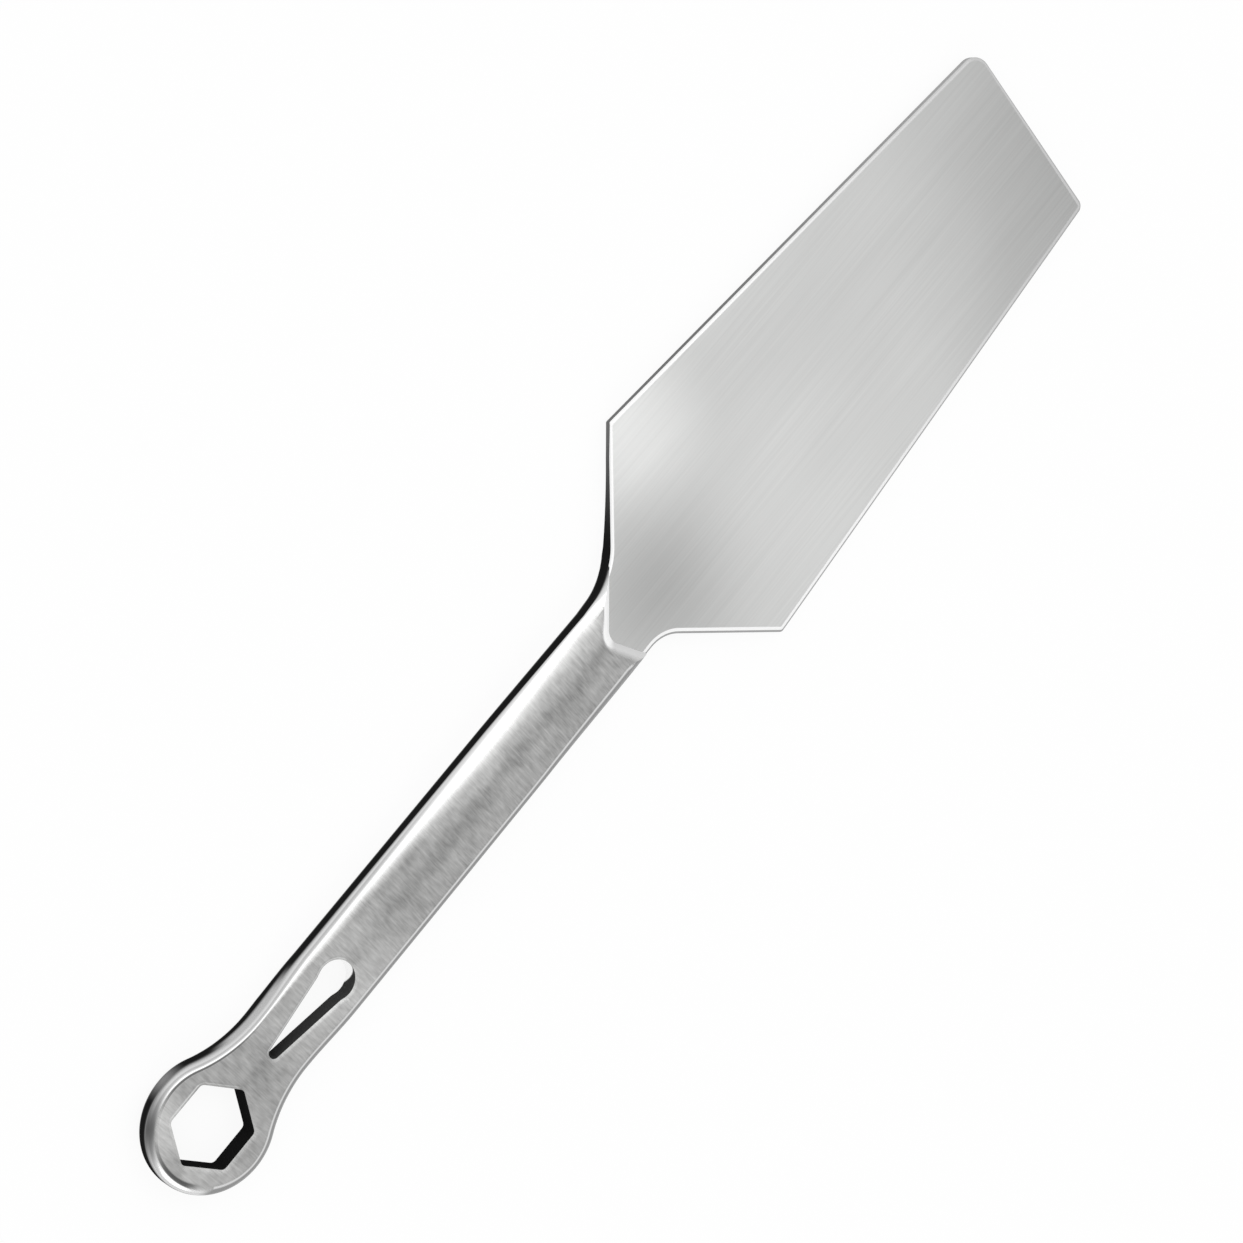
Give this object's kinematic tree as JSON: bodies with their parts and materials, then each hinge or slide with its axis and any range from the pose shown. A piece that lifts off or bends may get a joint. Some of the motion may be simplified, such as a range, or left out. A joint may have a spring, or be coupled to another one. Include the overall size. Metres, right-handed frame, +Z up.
{
  "type": "spudger tool",
  "caption": "Flat stainless steel spudger with a wide thin tapered prying blade, a slim handle with a keyhole slot, and a hexagon wrench ring at its end.",
  "frame": {"origin": "middle of the tool's length and width, on the plane of the handle's underside", "axes": "+X along the tool towards the blade's tip, +Z up out of the handle's top face"},
  "size_m": [0.148, 0.0324, 0.003],
  "materials": {
    "handle_steel": "cross-brushed stainless steel with polished rounded edges",
    "blade_steel": "fine lengthwise brushed stainless steel"
  },
  "bodies": {
    "root": {"handle": "handle_steel", "blade": "blade_steel"}
  },
  "joints": []
}
